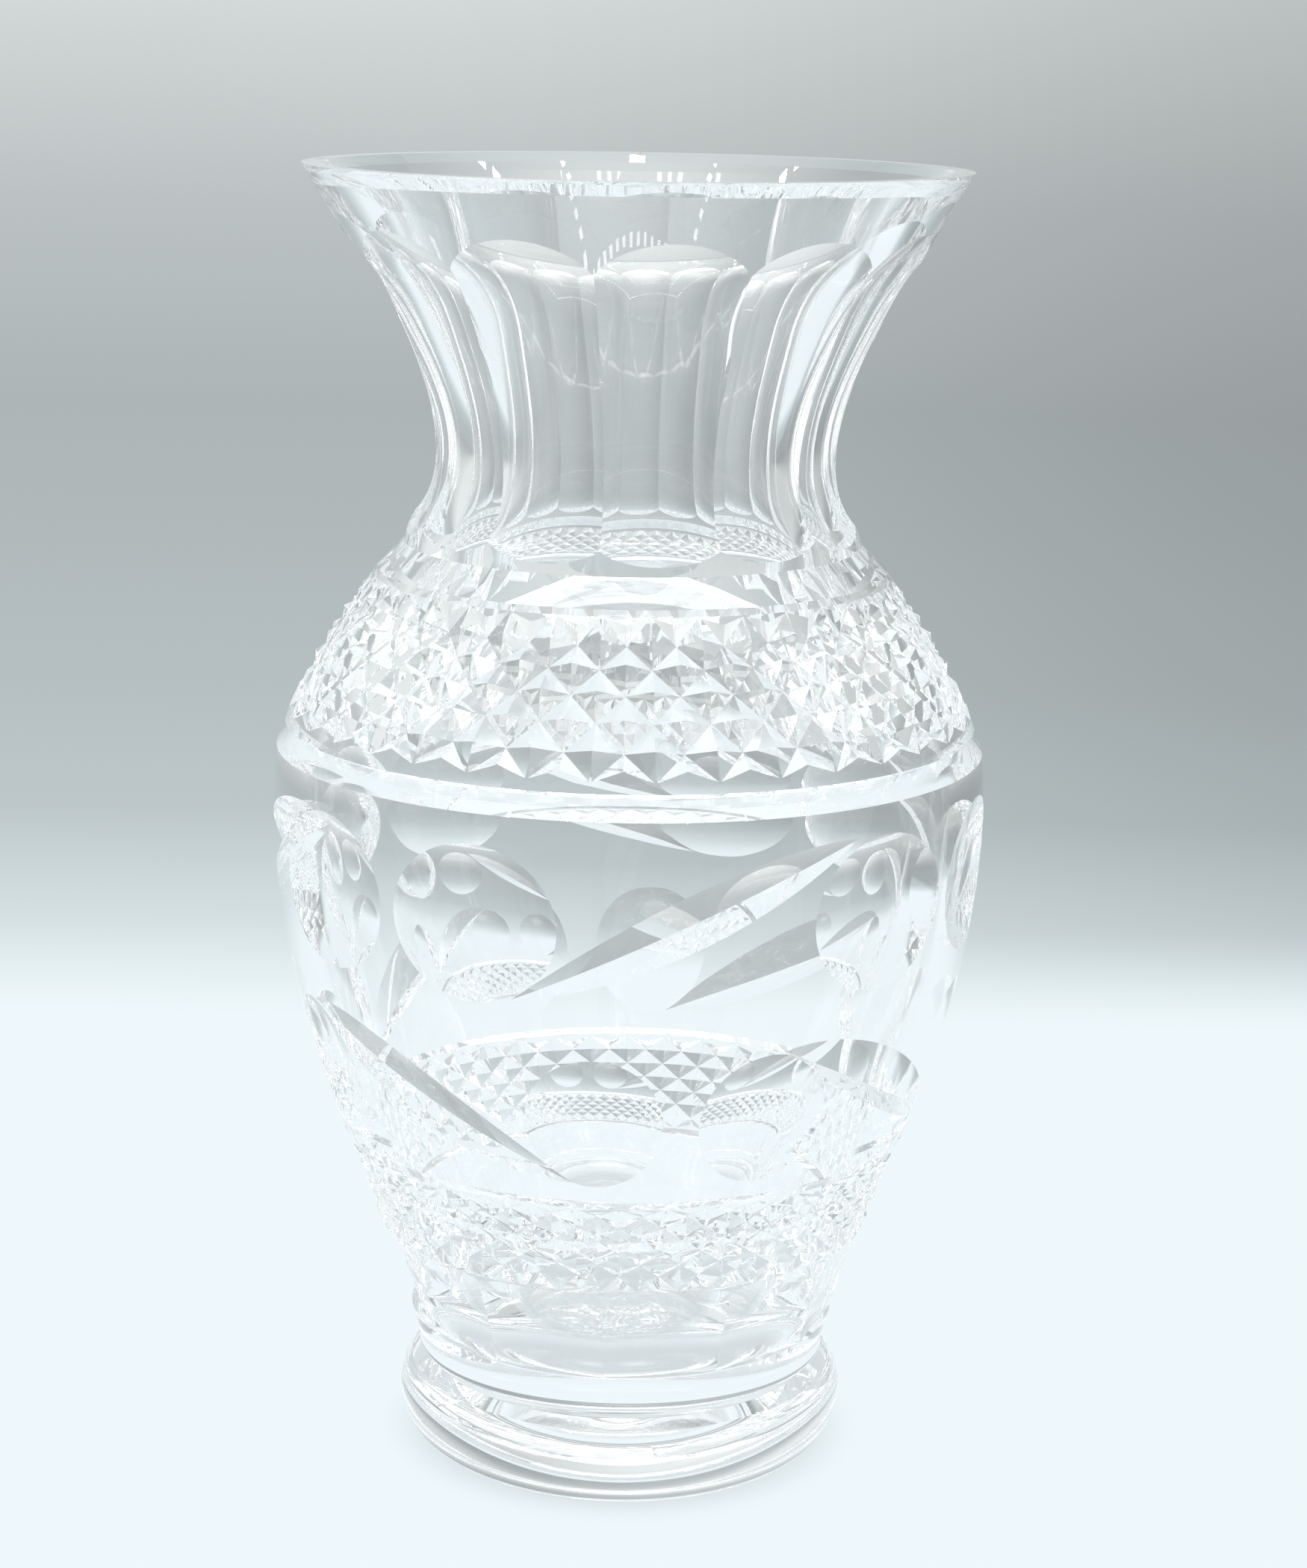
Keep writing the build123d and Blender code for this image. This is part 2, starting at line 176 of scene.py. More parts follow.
# ---------------------------------------------------------------- outlines
# An edge is a pair: its points, and the direction it runs in at each of them.
def spline(points, steps, start, end):
    """A smooth edge through points, with the direction it starts and ends in."""
    p = np.array(points, float)
    t = np.r_[0, np.cumsum(np.linalg.norm(np.diff(p, axis=0), axis=1))]
    h = np.diff(t)
    n = len(p)
    rows = np.eye(n)
    right = np.zeros((n, 2))
    right[0] = np.array(start) / np.linalg.norm(start)
    right[-1] = np.array(end) / np.linalg.norm(end)
    for i in range(1, n - 1):
        rows[i, i - 1:i + 2] = h[i], 2 * (h[i - 1] + h[i]), h[i - 1]
        before = (p[i] - p[i - 1]) / h[i - 1]
        after = (p[i + 1] - p[i]) / h[i]
        right[i] = 3 * (h[i] * before + h[i - 1] * after)
    slope = np.linalg.solve(rows, right)
    places = []
    runs = []
    for u in np.linspace(0, t[-1], steps + 1):
        i = min(np.searchsorted(t, u, "right") - 1, n - 2)
        k = h[i]
        s = (u - t[i]) / k
        a, b, c, d = p[i], p[i + 1], slope[i] * k, slope[i + 1] * k
        places.append((2 * s**3 - 3 * s**2 + 1) * a + (3 * s**2 - 2 * s**3) * b
                      + (s**3 - 2 * s**2 + s) * c + (s**3 - s**2) * d)
        runs.append((6 * s * s - 6 * s) * (a - b) + (3 * s * s - 4 * s + 1) * c
                    + (3 * s * s - 2 * s) * d)
    runs = np.array(runs)
    return np.array(places), runs / np.linalg.norm(runs, axis=1)[:, None]


def free_spline(points, steps, tries=6, coarse=40):
    """A smooth edge through points whose ends run on without bending."""
    chords = np.diff(np.array(points, float), axis=0)
    chords /= np.linalg.norm(chords, axis=1)[:, None]
    first, last = chords[0], chords[-1]
    span = coarse // len(chords)
    for _ in range(tries):
        _, runs = spline(points, coarse, first, last)
        first = 1.5 * chords[0] - 0.5 * runs[span]
        last = 1.5 * chords[-1] - 0.5 * runs[coarse - span]
    return spline(points, steps, first, last)


def line(a, b):
    """A straight edge."""
    a = np.array(a, float)
    b = np.array(b, float)
    run = (b - a) / np.linalg.norm(b - a)
    return np.array([a, b]), np.array([run, run])


def lines(*points):
    """Straight edges from point to point."""
    return [line(a, b) for a, b in zip(points, points[1:])]


def arc(a, b, c, steps):
    """A circular edge from a through b to c."""
    a, b, c = (np.array(q, float) for q in (a, b, c))
    centre = np.linalg.solve(2 * np.array([b - a, c - a]), [b @ b - a @ a, c @ c - a @ a])
    first = atan2(*(a - centre)[::-1])
    turn = (atan2(*(c - centre)[::-1]) - first + pi) % (2 * pi) - pi
    angles = first + turn * np.linspace(0, 1, steps + 1)
    out = np.c_[np.cos(angles), np.sin(angles)]
    runs = np.c_[-out[:, 1], out[:, 0]] * np.sign(turn)
    return centre + np.linalg.norm(a - centre) * out, runs


def lengths_along(points):
    """How far along an edge each of its points is."""
    return np.r_[0, np.cumsum(np.linalg.norm(np.diff(points, axis=0), axis=1))]


def at(edge, share):
    """Point and direction at a share of an edge, from 0 to 1."""
    points, runs = edge
    along = lengths_along(points)
    s = share * along[-1]
    point = np.array([np.interp(s, along, points[:, k]) for k in (0, 1)])
    run = np.array([np.interp(s, along, runs[:, k]) for k in (0, 1)])
    return point, run / np.linalg.norm(run)


def share_at(edge, z):
    """The share of a rising edge at which it reaches a height."""
    points = edge[0]
    along = lengths_along(points)
    return float(np.interp(z, points[:, 1], along)) / along[-1]


recess = arc(
    (0, RECESS_DEPTH),
    (RECESS_RADIUS / 2, RECESS_DEPTH * 0.75),
    (RECESS_RADIUS, 0),
    steps=10)
foot = spline(
    [(FOOT_BASE_RADIUS, 0), (FOOT_RADIUS, FOOT_HEIGHT * 0.58), (FOOT_TOP_RADIUS, FOOT_HEIGHT)],
    steps=16, start=(0.9, 0.55), end=(-0.8, 0.6))
cove = spline(
    [(COVE_RADIUS, COVE_Z), (PANEL_RADIUS, PANEL_Z)],
    steps=8, start=(0, 1), end=(PANEL_BREAK_RADIUS - PANEL_RADIUS, PANEL_BREAK_RISE))
band_edge = line((BAND_BOTTOM_RADIUS, BAND_BOTTOM_Z), (BAND_TOP_RADIUS, BAND_TOP_Z))
belly_edge = spline(
    [
        (BELLY_BOTTOM_RADIUS, BELLY_BOTTOM_Z),
        (BELLY_RADIUS, BELLY_BOTTOM_Z + BELLY_HEIGHT * 0.82),
        (BELLY_TOP_RADIUS, BELLY_TOP_Z),
    ],
    steps=44, start=(0.34, 0.94), end=(-0.1, 1))
shoulder_edge = arc(
    (SHOULDER_BOTTOM_RADIUS, SHOULDER_BOTTOM_Z),
    (
        (SHOULDER_BOTTOM_RADIUS + SHOULDER_TOP_RADIUS) / 2 + SHOULDER_BULGE_OUT,
        (SHOULDER_BOTTOM_Z + SHOULDER_TOP_Z) / 2 + SHOULDER_BULGE_UP,
    ),
    (SHOULDER_TOP_RADIUS, SHOULDER_TOP_Z),
    steps=14)
neck_edge = spline(
    [(NECK_BASE_RADIUS, NECK_BASE_Z), (THROAT_RADIUS, THROAT_Z), (COLLAR_RADIUS, COLLAR_Z)],
    steps=28, start=(-0.25, 1), end=(RIM_RADIUS - COLLAR_RADIUS, COLLAR_HEIGHT))
bevel_foot = (RIM_RADIUS - RIM_WALL - RIM_BEVEL_INSET, TOP_Z - RIM_BEVEL_HEIGHT)
inside = spline(
    [
        bevel_foot,
        (COLLAR_RADIUS - COLLAR_WALL, COLLAR_Z),
        (THROAT_RADIUS - THROAT_WALL, THROAT_Z),
        (RING_RADIUS - RING_WALL, RING_Z),
        (BELLY_TOP_RADIUS - BELLY_TOP_WALL, BELLY_TOP_Z),
        (BELLY_RADIUS - BELLY_WALL, BELLY_BOTTOM_Z + BELLY_HEIGHT * 0.78),
        (BELLY_BOTTOM_RADIUS - BELLY_WALL, BELLY_BOTTOM_Z),
        (WAIST_TOP_RADIUS - WAIST_WALL, WAIST_TOP_Z),
        (WELL_RADIUS, BASE_THICKNESS + WELL_RISE),
        (0, BASE_THICKNESS),
    ],
    steps=84, start=(-0.8, -1), end=(-1, 0))
outline = [
    recess,
    line((RECESS_RADIUS, 0), (FOOT_BASE_RADIUS, 0)),
    foot,
    *lines((FOOT_TOP_RADIUS, FOOT_HEIGHT), (SEAM_RADIUS, SEAM_Z), (COVE_RADIUS, COVE_Z)),
    cove,
    *lines(
        (PANEL_RADIUS, PANEL_Z),
        (PANEL_BREAK_RADIUS, PANEL_BREAK_Z),
        (WAIST_TOP_RADIUS, WAIST_TOP_Z),
        (WAIST_TOP_RADIUS - GROOVE_DEPTH, WAIST_TOP_Z + LOWER_GROOVE_HEIGHT / 2),
        (BAND_BOTTOM_RADIUS, BAND_BOTTOM_Z),
    ),
    band_edge,
    *lines(
        (BAND_TOP_RADIUS, BAND_TOP_Z),
        (BAND_TOP_RADIUS - GROOVE_DEPTH, BAND_TOP_Z + UPPER_GROOVE_HEIGHT / 2),
        (BELLY_BOTTOM_RADIUS, BELLY_BOTTOM_Z),
    ),
    belly_edge,
    *lines(
        (BELLY_TOP_RADIUS, BELLY_TOP_Z),
        (STRIP_RADIUS - WIDE_GROOVE_DEPTH, STRIP_Z - WIDE_GROOVE_HEIGHT / 4),
        (STRIP_RADIUS, STRIP_Z),
        (SHOULDER_BOTTOM_RADIUS, SHOULDER_BOTTOM_Z),
    ),
    shoulder_edge,
    *lines(
        (SHOULDER_TOP_RADIUS, SHOULDER_TOP_Z),
        (RING_RADIUS, RING_Z),
        (NECK_BASE_RADIUS, NECK_BASE_Z),
    ),
    neck_edge,
    *lines(
        (COLLAR_RADIUS, COLLAR_Z),
        (RIM_RADIUS, TOP_Z),
        (RIM_RADIUS - RIM_WALL, TOP_Z),
        bevel_foot,
    ),
    inside,
]


# ---------------------------------------------------------------- solids
# A solid is a list of faces; a face is a list of corners; a corner is its place and
# the direction in which the finished glass faces there.
def around(angle, radius, z):
    """The point at an angle from the front, a distance from the axis and a height."""
    a = radians(angle)
    return np.array([radius * sin(a), -radius * cos(a), z])


def flat(points, cutter=True):
    """A flat face. What a cutter leaves behind faces against the cutter's own faces."""
    points = [np.array(p, float) for p in points]
    n = sum((np.cross(points[i] - points[0], points[i + 1] - points[0])
             for i in range(1, len(points) - 1)), np.zeros(3))
    n /= np.linalg.norm(n)
    if cutter:
        n = -n
    return [(p, n) for p in points]


def turned(edges, centre, axle, out, first, last, steps, cutter=True):
    """A closed outline (distance from the axle, place along it) turned about the axle."""
    side = np.cross(axle, out)
    sign = -1.0 if cutter else 1.0
    whole = last - first >= 2 * pi
    angles = np.linspace(first, last, steps + 1)
    if whole:
        angles[-1] = angles[0]
    rims = [out * cos(a) + side * sin(a) for a in angles]
    faces = []
    for points, runs in edges:
        for i in range(len(points) - 1):
            for j in range(steps):
                corners = []
                for k, m in ((i, j), (i, j + 1), (i + 1, j + 1), (i + 1, j)):
                    (x, y), (u, v) = points[k], runs[k]
                    if x < ON_AXLE and m == j + 1:
                        continue
                    place = centre + axle * y + rims[m] * x
                    corners.append((place, sign * (rims[m] * v - axle * u)))
                faces.append(corners)
    if not whole:
        ring = [p for points, _ in edges for p in points[:-1]]
        for j, order in ((0, 1), (steps, -1)):
            cap = [centre + axle * y + rims[j] * x for x, y in ring][::order]
            faces.append(flat(cap, cutter))
    return faces


def diamonds(edge, count, rows, depth, phase):
    """A ring whose inside is a field of pyramids, as two families of V grooves leave."""
    steps = [at(edge, (row + 0.5) / rows)[0][0] for row in range(rows)]
    shares = [sum(steps[:row]) / sum(steps) for row in range(rows + 1)]
    inner_of = {0: 1, rows: rows - 1}

    def place(row, k, sunk, towards=0.0):
        """The point at a row and half step, moved part of the way to the next row inside."""
        share = shares[row]
        if towards:
            share = (1 - towards) * share + towards * shares[inner_of[row]]
        (r, z), (u, v) = at(edge, share)
        return around(phase + k * 180 / count, r - sunk * v, z + sunk * u)

    def crossing(row, k):
        """Where two grooves cross, or run out at the end of the field."""
        return place(row, k, -CLEAR if row in inner_of else depth)

    def end(row, k):
        """A point of the ring's end: where a groove runs out, or a lip between two."""
        return crossing(row, k) if (k - row) % 2 == 0 else place(row, k, -CLEAR, LIP_SHARE)

    def far(p):
        """The same angle and height, outside the whole vase."""
        share = (RIM_RADIUS + CLEAR_OF_RIM) / hypot(p[0], p[1])
        return np.array([p[0] * share, p[1] * share, p[2]])

    faces = []
    for k in range(2 * count):
        for row in range(1, rows):
            if (k - row) % 2:
                tip = place(row, k, CLEAR / 3)
                beside = ((row, k - 1), (row - 1, k), (row, k + 1), (row + 1, k))
                ring = [crossing(*spot) for spot in beside]
                for i in range(4):
                    faces.append([ring[i], ring[(i + 1) % 4], tip])
        for row, inner in inner_of.items():
            here, there = end(row, k), end(row, k + 1)
            fan = [[here, far(here), far(there)], [here, far(there), there]]
            if (k - row) % 2:
                valley = crossing(inner, k)
                fan += [[valley, here, there], [valley, end(row, k - 1), here]]
            faces += [f[::-1] if row else f for f in fan]
        a, b = far(end(0, k)), far(end(0, k + 1))
        c, d = far(end(rows, k + 1)), far(end(rows, k))
        faces += [[a, d, b], [b, d, c]]
    return [flat(f[::-1]) for f in faces]


def closed_by(edge, inner):
    """The outline of a wheel's rim, closed at a given distance from its axle."""
    first, last = edge[0][0], edge[0][-1]
    return [edge, *lines(last, (inner, last[1]), (inner, first[1]), first)]


def flute(angle):
    """The wheel that cuts one hollow flute of the neck. Its axle stands upright outside the vase."""
    bed = [
        (NECK_BASE_RADIUS + FLUTE_START_OUTSET, NECK_BASE_Z + FLUTE_START_RISE),
        (NECK_BASE_RADIUS - FLUTE_DEPTH / 2, NECK_BASE_Z + RING_HEIGHT * 0.4),
        (THROAT_RADIUS - FLUTE_DEPTH / 2, NECK_BASE_Z + THROAT_HEIGHT * 0.19),
        (THROAT_RADIUS - FLUTE_DEPTH, THROAT_Z),
        (COLLAR_RADIUS - FLUTE_DEPTH * 0.889, COLLAR_Z),
        (COLLAR_RADIUS + FLUTE_ARCH_OUTSET, COLLAR_Z + COLLAR_HEIGHT * 0.435),
        (COLLAR_RADIUS + FLUTE_END_OUTSET, COLLAR_Z + COLLAR_HEIGHT * 0.68),
    ]
    hub = 20.0
    half_turn = radians(FLUTE_HALF_TURN)
    edge = free_spline([(FLUTE_WHEEL - r, z) for r, z in bed], steps=44)
    return turned(closed_by(edge, hub), around(angle, FLUTE_WHEEL, 0), np.array([0, 0, 1.0]),
                  -around(angle, 1, 0), -half_turn, half_turn, steps=24)


def panel(angle):
    """The block that cuts two flat panels of the waist, one above the other."""
    half_step = radians(180 / PANEL_COUNT)
    share = cos(half_step)
    outer = FOOT_RADIUS + CLEAR_OF_VASE
    top = WAIST_TOP_Z + LOWER_GROOVE_HEIGHT / 2
    spare_width = 1.0
    half_width = WAIST_TOP_RADIUS * tan(half_step) + spare_width
    section = [
        (PANEL_RADIUS * share, PANEL_Z),
        (PANEL_BREAK_RADIUS * share, PANEL_BREAK_Z),
        (WAIST_TOP_RADIUS * share, top),
        (outer, top),
        (outer, PANEL_Z),
    ]
    side = around(angle + 90, 1, 0)
    left, right = (
        [around(angle, r, z) + side * w for r, z in section]
        for w in (-half_width, half_width)
    )
    faces = [left[::-1], right]
    for i in range(len(section)):
        j = (i + 1) % len(section)
        faces.append([left[i], left[j], right[j], right[i]])
    return [flat(f) for f in faces]


def oval(angle, z, width, length, depth):
    """The part of a wheel that cuts one hollow oval of a given size into the belly."""
    run_out = 4.0
    nudge = 0.02
    share = share_at(belly_edge, z)
    (r, z), (u, v) = at(belly_edge, share)
    low, before = at(belly_edge, share - nudge)
    high, after = at(belly_edge, share + nudge)
    bend = (atan2(*before) - atan2(*after)) / np.linalg.norm(high - low)
    wheel = 1 / (8 * depth / width**2 - v / r)
    roundness = 1 / (8 * depth / length**2 - bend)
    half = length / 2 + run_out
    drop = roundness - sqrt(roundness**2 - half**2)
    outward = around(angle, v, -u)
    axle = around(angle, u, v)
    centre = around(angle, r, z) + outward * (wheel - depth)
    turn = asin(width / 2 / wheel) + run_out / 2 / wheel
    edge = arc((wheel - drop, -half), (wheel, 0), (wheel - drop, half), steps=26)
    inner = wheel - max(depth + CLEAR_OF_VASE / 2, drop + CLEAR)
    return turned(closed_by(edge, inner), centre, axle, -outward, -turn, turn, steps=26)


def leaf(angles, levels):
    """The part of a wheel that cuts one V groove through three points of the belly."""
    places = zip((angles[0], sum(angles) / 2, angles[1]), levels)
    start, middle, end = (
        around(a, at(belly_edge, share_at(belly_edge, z))[0][0], z)
        for a, z in places
    )
    chord = end - start
    length = np.linalg.norm(chord)
    along = chord / length
    share = (middle - start) @ along / length
    rise = (middle - start) - along * ((middle - start) @ along)
    bulge = np.linalg.norm(rise) / (4 * share * (1 - share)) - LEAF_DEPTH
    outward = rise / np.linalg.norm(rise)
    half = length / 2
    radius = (half**2 + bulge**2) / (2 * bulge)
    centre = (start + end) / 2 - outward * (radius - bulge)
    turn = asin(half / radius) + LEAF_RUN_OUT / radius
    deep = LEAF_DEPTH + LEAF_RUN_OUT
    wide = deep * tan(radians(LEAF_HALF_ANGLE))
    below, above, sharp = (radius + deep, -wide), (radius + deep, wide), (radius, 0)
    section = lines(below, above, sharp, below)
    return turned(section, centre, np.cross(along, outward), outward, -turn, turn, steps=60)


def mesh_of(solids, name):
    """One mesh of some solids that don't touch each other."""
    numbers = {}
    points = []
    faces = []
    ways = []
    for number, solid in enumerate(solids):
        for face in solid:
            row = []
            for place, way in face:
                key = (number, *np.round(place, 5))
                if key not in numbers:
                    numbers[key] = len(points)
                    points.append(place * MM)
                row.append(numbers[key])
                ways.append(way)
            faces.append(row)
    mesh = bpy.data.meshes.new(name)
    mesh.from_pydata([tuple(p) for p in points], [], faces)
    mesh.validate()
    attribute = mesh.attributes.new("faces_way", "FLOAT_VECTOR", "CORNER")
    attribute.data.foreach_set("vector", np.array(ways, np.float32).ravel())
    return mesh


# ---------------------------------------------------------------- the vase
def belly_cuts():
    """The ovals and the leaves of the belly."""
    ovals = []
    leaves = []
    for row in BELLY_ROWS:
        angles = row["pair_angles"]
        start_inset, end_inset = row["leaf_insets"]
        for angle, following in zip(angles, (*angles[1:], angles[0] + 360)):
            partner = angle + row["spacing"]
            for place in (angle, partner):
                ovals.append(oval(place, row["level"], *row["oval"]))
            leaves.append(leaf((partner + start_inset, following - end_inset), row["leaf_levels"]))
    return [ovals, leaves]


def every_other(cutter, count, phase):
    """Cutters round the vase in two sets, so that no two in a set touch."""
    step = 360 / count
    return [[cutter(phase + (2 * k + odd) * step) for k in range(count // 2)] for odd in (0, 1)]


def cut_away(thing, solids):
    """Cuts some solids out of an object's mesh."""
    wheel = bpy.data.objects.new("wheel", mesh_of(solids, "wheel"))
    bpy.context.scene.collection.objects.link(wheel)
    cut = thing.modifiers.new("cut", "BOOLEAN")
    cut.operation = "DIFFERENCE"
    cut.solver = "MANIFOLD"
    cut.object = wheel
    depsgraph = bpy.context.evaluated_depsgraph_get()
    result = bpy.data.meshes.new_from_object(thing.evaluated_get(depsgraph))
    thing.modifiers.clear()
    thing.data = result
    bpy.data.objects.remove(wheel)


def corner_vectors(values, count):
    """One vector for each corner of a mesh."""
    vectors = np.empty(count * 3, np.float32)
    values.foreach_get("vector", vectors)
    return vectors.reshape(-1, 3)


def face_true(mesh):
    """Makes each corner of a mesh face the way that its cutter or the blank says."""
    ways = corner_vectors(mesh.attributes["faces_way"].data, len(mesh.loops))
    own = corner_vectors(mesh.corner_normals, len(mesh.loops))
    length = np.linalg.norm(ways, axis=1)
    known = length > 0.5
    ways[known] /= length[known, None]
    ways[~known] = own[~known]
    mesh.polygons.foreach_set("use_smooth", np.ones(len(mesh.polygons), bool))
    mesh.attributes.remove(mesh.attributes["faces_way"])
    mesh.normals_split_custom_set([tuple(w) for w in ways])


def cut_vase():
    """The vase: a blank turned about the vertical axis, then cut with every wheel."""
    up = np.array([0, 0, 1.0])
    front = around(0, 1, 0)
    blank = turned(outline, np.zeros(3), up, front, 0, 2 * pi, ROUND_STEPS, cutter=False)
    vase = bpy.data.objects.new("cut_glass", mesh_of([blank], "cut_glass"))
    bpy.context.scene.collection.objects.link(vase)
    cuts = [
        *belly_cuts(),
        *every_other(flute, FLUTE_COUNT, FLUTE_PHASE),
        *every_other(panel, PANEL_COUNT, PANEL_PHASE),
        [diamonds(shoulder_edge, **SHOULDER_DIAMONDS)],
        [diamonds(band_edge, **BAND_DIAMONDS)],
    ]
    for solids in cuts:
        cut_away(vase, solids)
    # A new mesh took the place of the blank's, so it is named again.
    vase.data.name = "cut_glass"
    face_true(vase.data)
    return vase


# ---------------------------------------------------------------- materials
def new_material(name):
    """An empty node material, its nodes and its links."""
    material = bpy.data.materials.new(name)
    material.use_nodes = True
    material.node_tree.nodes.clear()
    return material, material.node_tree.nodes, material.node_tree.links


def mapped(nodes, links, value, start, end, low=0.0, high=1.0, kind="LINEAR"):
    """A value carried over from one range to another."""
    node = nodes.new("ShaderNodeMapRange")
    node.interpolation_type = kind
    node.inputs["From Min"].default_value = start
    node.inputs["From Max"].default_value = end
    node.inputs["To Min"].default_value = low
    node.inputs["To Max"].default_value = high
    links.new(value, node.inputs["Value"])
    return node.outputs["Result"]


def reckoned(nodes, links, operation, first, second=0.0):
    """One step of arithmetic between sockets or numbers."""
    node = nodes.new("ShaderNodeMath")
    node.operation = operation
    for socket, value in zip(node.inputs, (first, second)):
        if isinstance(value, float):
            socket.default_value = value
        else:
            links.new(value, socket)
    return node.outputs["Value"]


def length_of(nodes, links, vector):
    """The length of a vector."""
    node = nodes.new("ShaderNodeVectorMath")
    node.operation = "LENGTH"
    links.new(vector, node.inputs[0])
    return node.outputs["Value"]


def shades(ramp, stops):
    """Sets the stops of a colour ramp: places and colours."""
    while len(ramp.elements) < len(stops):
        ramp.elements.new(0.5)
    for element, (position, colour) in zip(ramp.elements, stops):
        element.position = position
        element.color = (*colour, 1)


def noise(nodes, links, place, scale, detail):
    """A noise pattern that stays with the object."""
    node = nodes.new("ShaderNodeTexNoise")
    node.inputs["Scale"].default_value = scale
    node.inputs["Detail"].default_value = detail
    links.new(place.outputs["Object"], node.inputs["Vector"])
    return node.outputs["Fac"]


def crystal():
    """Clear polished glass, with the faint haze and waviness of hand polishing."""
    material, nodes, links = new_material("crystal")
    output = nodes.new("ShaderNodeOutputMaterial")
    shader = nodes.new("ShaderNodeBsdfPrincipled")
    shader.inputs["Base Color"].default_value = (1, 1, 1, 1)
    shader.inputs["Transmission Weight"].default_value = 1.0
    shader.inputs["IOR"].default_value = 1.54
    place = nodes.new("ShaderNodeTexCoord")
    haze = noise(nodes, links, place, scale=60.0, detail=6.0)
    wave = noise(nodes, links, place, scale=90.0, detail=2.0)
    rough = mapped(nodes, links, haze, start=0.45, end=0.8, high=0.02)
    links.new(rough, shader.inputs["Roughness"])
    bump = nodes.new("ShaderNodeBump")
    bump.inputs["Strength"].default_value = 0.1
    bump.inputs["Distance"].default_value = 0.0001
    links.new(wave, bump.inputs["Height"])
    links.new(bump.outputs["Normal"], shader.inputs["Normal"])
    links.new(shader.outputs["BSDF"], output.inputs["Surface"])
    return material


def painted_light_paper():
    """Paper with light from above painted into its glow: pale round the vase, grey behind it, and
    paler again high up.

    Painted shade makes it a little darker to the right at the back, and a painted shadow darkens it
    under the foot.
    """
    material, nodes, links = new_material("paper")
    output = nodes.new("ShaderNodeOutputMaterial")
    place = nodes.new("ShaderNodeTexCoord")
    split = nodes.new("ShaderNodeSeparateXYZ")
    links.new(place.outputs["Object"], split.inputs["Vector"])
    x, y, z = (split.outputs[axis] for axis in "XYZ")
    half_width = 0.35
    farthest = 0.86

    # The way along the floor, counted sideways only outside the middle of the sheet
    aside = reckoned(nodes, links, "ABSOLUTE", x)
    beyond = reckoned(nodes, links, "SUBTRACT", aside, half_width)
    across = reckoned(nodes, links, "MAXIMUM", beyond, 0.0)
    along = reckoned(nodes, links, "ADD", reckoned(nodes, links, "ABSOLUTE", y), across)
    floor_way = reckoned(nodes, links, "MINIMUM", along, farthest)
    travel = reckoned(nodes, links, "ADD", floor_way, z)
    # Painted light and shade: pale near the vase, grey farther back, and paler again up the sweep.
    tone = nodes.new("ShaderNodeValToRGB")
    shades(tone.color_ramp, [
        (0.0, (0.86, 0.94, 0.97)),
        (0.041, (0.78, 0.87, 0.89)),
        (0.102, (0.66, 0.74, 0.76)),
        (0.247, (0.51, 0.575, 0.585)),
        (0.576, (0.45, 0.50, 0.51)),
        (0.68, (0.42, 0.46, 0.47)),
        (0.77, (0.50, 0.54, 0.545)),
        (0.86, (0.66, 0.70, 0.70)),
        (1.0, (0.8, 0.84, 0.84)),
    ])
    links.new(mapped(nodes, links, travel, start=0.28, end=1.28), tone.inputs["Fac"])

    # Painted shadow: the paper is darker under and just round the foot.
    distance = length_of(nodes, links, place.outputs["Object"])
    painted_foot_shadow = mapped(nodes, links, distance, start=0.03, end=0.052, low=0.74, kind="SMOOTHERSTEP")
    # Painted shade: the paper is darker towards the right at the back of the sheet.
    painted_right_shade = mapped(nodes, links, x, start=-0.12, end=0.36, high=0.26, kind="SMOOTHSTEP")
    behind = mapped(nodes, links, y, start=0.28, end=0.4, kind="SMOOTHSTEP")
    shade = reckoned(nodes, links, "MULTIPLY", painted_right_shade, behind)

    # The paper only glows, so all its light and shade here are painted.
    glow = nodes.new("ShaderNodeEmission")
    links.new(tone.outputs["Color"], glow.inputs["Color"])
    links.new(reckoned(nodes, links, "SUBTRACT", painted_foot_shadow, shade), glow.inputs["Strength"])
    links.new(glow.outputs["Emission"], output.inputs["Surface"])
    return material


def glowing(name, strength, reach=None, faded=0.95):
    """White light. With a reach it fades to a fainter one at that distance."""
    material, nodes, links = new_material(name)
    output = nodes.new("ShaderNodeOutputMaterial")
    glow = nodes.new("ShaderNodeEmission")
    glow.inputs["Color"].default_value = (1, 1, 1, 1)
    glow.inputs["Strength"].default_value = strength
    if reach:
        place = nodes.new("ShaderNodeTexCoord")
        distance = length_of(nodes, links, place.outputs["Object"])
        fade = mapped(nodes, links, distance, start=0.0, end=reach, low=strength, high=faded,
                      kind="SMOOTHSTEP")
        links.new(fade, glow.inputs["Strength"])
    links.new(glow.outputs["Emission"], output.inputs["Surface"])
    return material


# ---------------------------------------------------------------- stage
def new_thing(name, points, faces, material):
    """An object of one material in the scene."""
    mesh = bpy.data.meshes.new(name)
    mesh.from_pydata(points, [], faces)
    mesh.materials.append(material)
    thing = bpy.data.objects.new(name, mesh)
    bpy.context.scene.collection.objects.link(thing)
    return thing


def sweep():
    """A sheet of paper: flat on the table, then curving up well behind the vase."""
    reach = 8.0
    flat_end = 0.75
    curve = 0.1
    top = 1.6
    steps = 12
    profile = [(-reach, 0.0), (flat_end, 0.0)]
    for k in range(1, steps + 1):
        a = pi / 2 * k / steps
        profile.append((flat_end + curve * sin(a), curve * (1 - cos(a))))
    profile.append((flat_end + curve, top))
    points = []
    for y, z in profile:
        points += [(-reach, y, z), (reach, y, z)]
    faces = [(2 * i, 2 * i + 1, 2 * i + 3, 2 * i + 2) for i in range(len(profile) - 1)]
    paper = new_thing("paper", points, faces, painted_light_paper())
    paper.data.shade_smooth()


def lit(name, points, faces, material):
    """Glowing faces that light the glass but stay out of the picture."""
    thing = new_thing(name, points, faces, material)
    thing.visible_camera = False
    return thing


